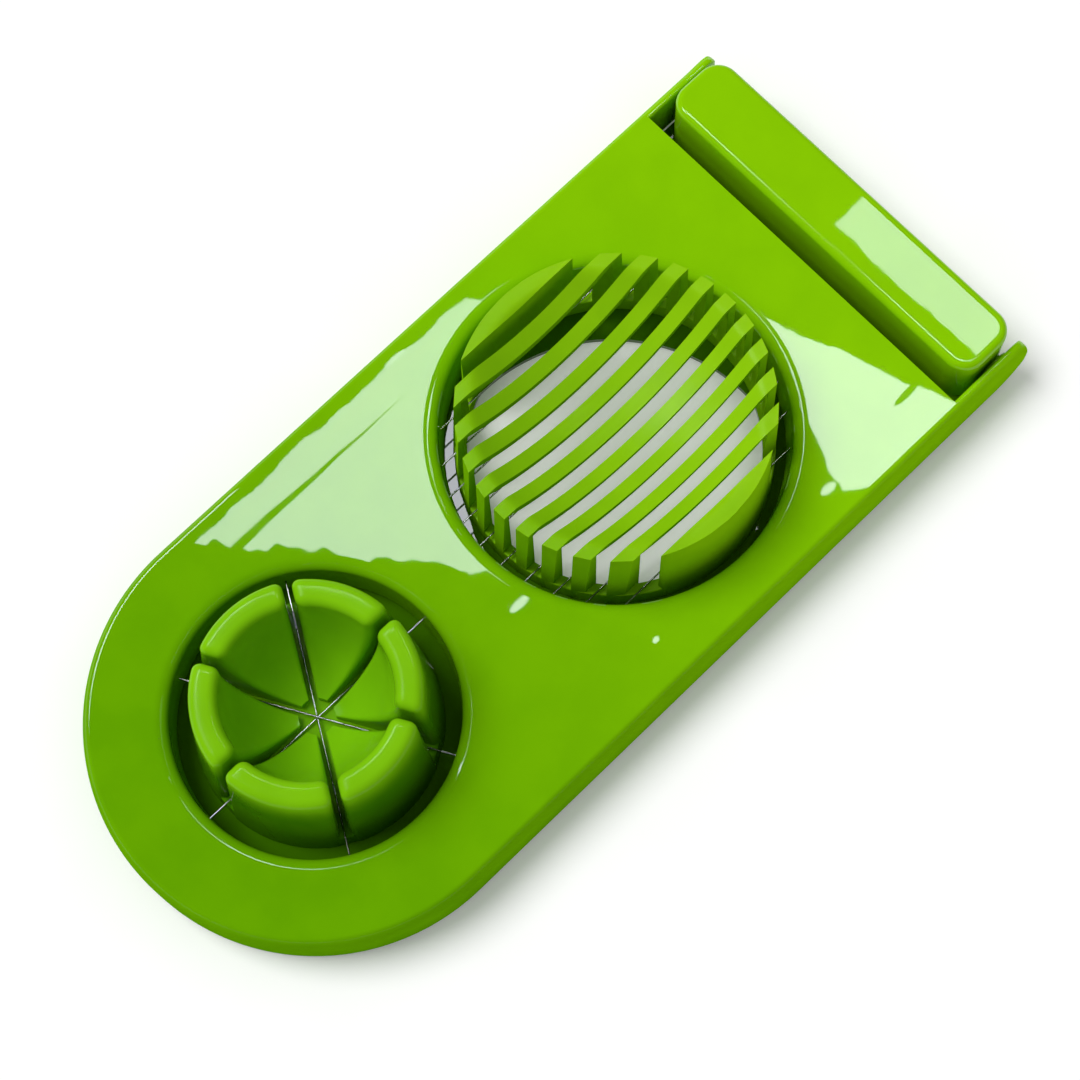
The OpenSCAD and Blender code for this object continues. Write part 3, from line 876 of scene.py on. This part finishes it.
def inside(x, y, a, b):
    """Distance in from the line a-b, on the left of its direction."""
    run = sqrt((b[0] - a[0]) ** 2 + (b[1] - a[1]) ** 2)
    return (y - a[1]) * ((b[0] - a[0]) / run) - (x - a[0]) * ((b[1] - a[1]) / run)


def spot(x, y, cx, cy, half_x, half_y):
    """Positive within an ellipse."""
    u = (x - cx) / half_x
    v = (y - cy) / half_y
    return 1.0 - (u * u + v * v)


def box(x, y, x0, x1, y0, y1):
    """Distance in from the nearest side of a box."""
    return (x - x0).smaller(x1 - x).smaller(y - y0).smaller(y1 - y)


def wobble(place, scale, detail, roughness, width):
    """Noise that spreads over this width, half of it below nothing."""
    return place.noise(scale, detail, roughness) * width - width / 2


def left_shape(x, y, ragged, fine):
    """The large shape left of the slicer bed, with leaves along one side."""
    shape = inside(x, y, LEFT_CORNER, LEFT_LOW).smaller(inside(x, y, LEFT_HIGH, LEFT_CORNER) + ragged)
    shape = shape.smaller(inside(x, y, *LEFT_BACK)).smaller(LEFT_TOP - y + fine).smaller(LEFT_END - x)
    shape = shape.smaller((y - BAR_Y).size() - (x * BAR_WIDENS + BAR_HALF))
    return shape.smaller(spot(x, y, *BED_CLEARANCE) * BED_FADE)


def right_shape(x, y, fine):
    """The narrow shape between the slicer bed and the hinge."""
    shape = inside(x, y, *RIGHT_SIDE).smaller(inside(x, y, *RIGHT_BACK))
    shape = shape.smaller(inside(x, y, *RIGHT_FOOT)) + fine
    return shape.smaller(spot(x, y, *RIGHT_NICK) * -1.0)


def window():
    """The bright window above, seen only in reflections. Its outline is drawn as it lands on the plate."""
    material, place = blank_material("window")
    card_x, card_y, _ = place.parts()
    x = (card_x / MM - EYE[0]) / CARD_SPREAD + EYE[0]
    y = (card_y / MM - EYE[1]) / CARD_SPREAD + EYE[1]
    ragged = wobble(place, *LEAVES[0]) + wobble(place, *LEAVES[1])
    fine = wobble(place, *FINE)
    left = left_shape(x, y, ragged, fine)
    bright = right_shape(x, y, fine).larger(box(x, y, *SKYLIGHT))
    for glint in GLINTS:
        bright = bright.larger(spot(x, y, *glint))
    block = box(x, y, *BLOCK_PATCH) + fine * FINE_ON_BLOCK
    dim = (left.ramp(-SOFT, SOFT) * LEFT_SHARE).larger(block.ramp(-SOFT, SOFT) * BLOCK_SHARE)
    light = bright.ramp(-SOFT, SOFT).larger(dim).tint((0, 0, 0), WINDOW_WHITE)
    use_shader(material, place.node("ShaderNodeEmission", {"Color": light, "Strength": WINDOW_STRENGTH}))
    bm = bmesh.new()
    bmesh.ops.create_grid(bm, x_segments=1, y_segments=1, size=CARD_HALF * MM)
    middle = Vector((CARD_MIDDLE, CARD_MIDDLE, CARD_H)) * MM
    bmesh.ops.translate(bm, vec=middle, verts=bm.verts)
    obj = stage_object("window", bm, material)
    obj.visible_camera = False
    obj.visible_diffuse = False
    obj.visible_shadow = False
    return obj


def soft_sun(name, bearing, height, strength, spread):
    """A wide soft lamp far away; bearing and height are where it stands, in degrees."""
    light = bpy.data.lights.new(name, "SUN")
    light.energy = strength
    light.angle = radians(spread)
    obj = bpy.data.objects.new(name, light)
    bpy.context.scene.collection.objects.link(obj)
    flat = cos(radians(height))
    place = Vector((flat * cos(radians(bearing)), flat * sin(radians(bearing)), sin(radians(height))))
    obj.location = place
    obj.rotation_euler = place.to_track_quat("Z", "Y").to_euler()
    return obj


def world(level, gloss_level):
    """Even white light all round, with its own level in reflections."""
    made = bpy.data.worlds.new("room")
    bpy.context.scene.world = made
    made.use_nodes = True
    tree = made.node_tree
    tree.nodes.clear()
    is_gloss = add_node(tree, "ShaderNodeLightPath", {}, "Is Glossy Ray")
    strength = is_gloss * (gloss_level - level) + level
    back = add_node(tree, "ShaderNodeBackground", {"Color": (1, 1, 1, 1), "Strength": strength})
    add_node(tree, "ShaderNodeOutputWorld", {"Surface": back})


table()
window()
world(level=0.45, gloss_level=0.0)
soft_sun("window light", bearing=116.0, height=58.5, strength=2.24, spread=34.0)


# ---------------------------------------------------------------- camera
# The camera stands and aims this far off EYE and AIM, and leans by this many degrees
CAMERA_SHIFT = (-0.12, 0.11, 0)
CAMERA_LEAN = 3.86
LENS, SENSOR_W, CLIP_START = 88.0, 36.0, 10.0


def camera():
    """A camera above the nose end, leaning a little to one side."""
    place = (Vector(EYE) + Vector(CAMERA_SHIFT)) * MM
    aim = (Vector(AIM) + Vector(CAMERA_SHIFT)) * MM
    lean = radians(CAMERA_LEAN)
    data = bpy.data.cameras.new("camera")
    data.sensor_width = SENSOR_W
    data.lens = LENS
    data.clip_start = CLIP_START * MM
    obj = bpy.data.objects.new("camera", data)
    bpy.context.scene.collection.objects.link(obj)
    ahead = (aim - place).normalized()
    across = ahead.cross(Vector((0, 0, 1))).normalized()
    up = across.cross(ahead)
    top = up * cos(lean) + across * sin(lean)
    side = ahead.cross(top)
    turn = Matrix((side, top, -ahead)).transposed()
    obj.matrix_world = Matrix.Translation(place) @ turn.to_4x4()
    bpy.context.scene.camera = obj


camera()
bpy.context.scene.view_settings.view_transform = "Standard"
